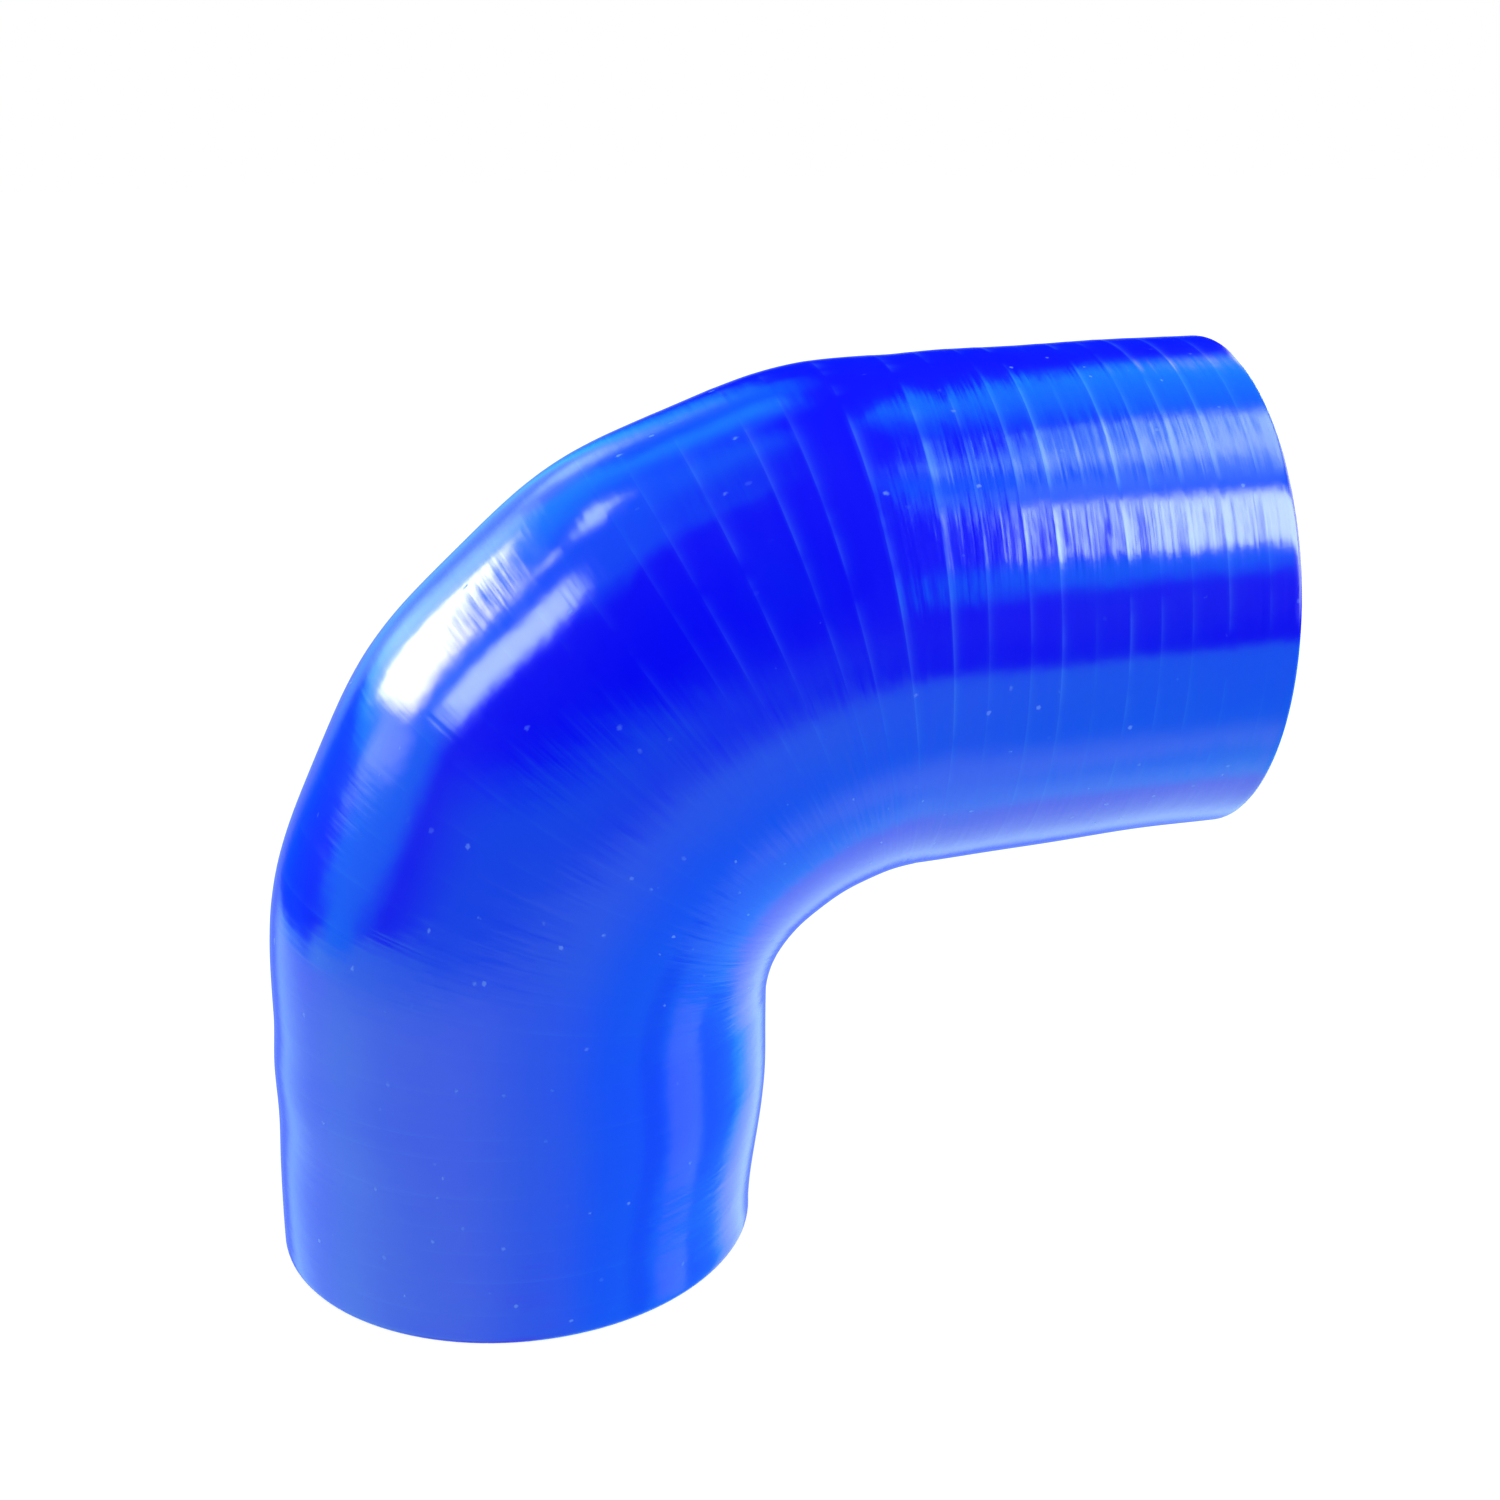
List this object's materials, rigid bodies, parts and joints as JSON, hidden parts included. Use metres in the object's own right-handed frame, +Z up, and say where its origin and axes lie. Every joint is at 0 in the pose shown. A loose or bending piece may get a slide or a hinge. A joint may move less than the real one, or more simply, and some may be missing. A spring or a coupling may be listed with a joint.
{
  "type": "silicone elbow hose",
  "caption": "Right-angle silicone rubber elbow hose with short straight legs and a smooth round bore, for joining pipes in a coolant or air intake line.",
  "frame": {"origin": "on the floor, under the middle of the hose's bounding box", "axes": "+Z up along the lower leg, which stands on its cut end; +X along the outlet leg, towards its open end; +Y across both legs"},
  "size_m": [0.1404, 0.074, 0.1299],
  "materials": {
    "silicone": "smooth glossy cured silicone with faint wrap marks"
  },
  "bodies": {
    "root": {"elbow_hose": "silicone"}
  },
  "joints": []
}
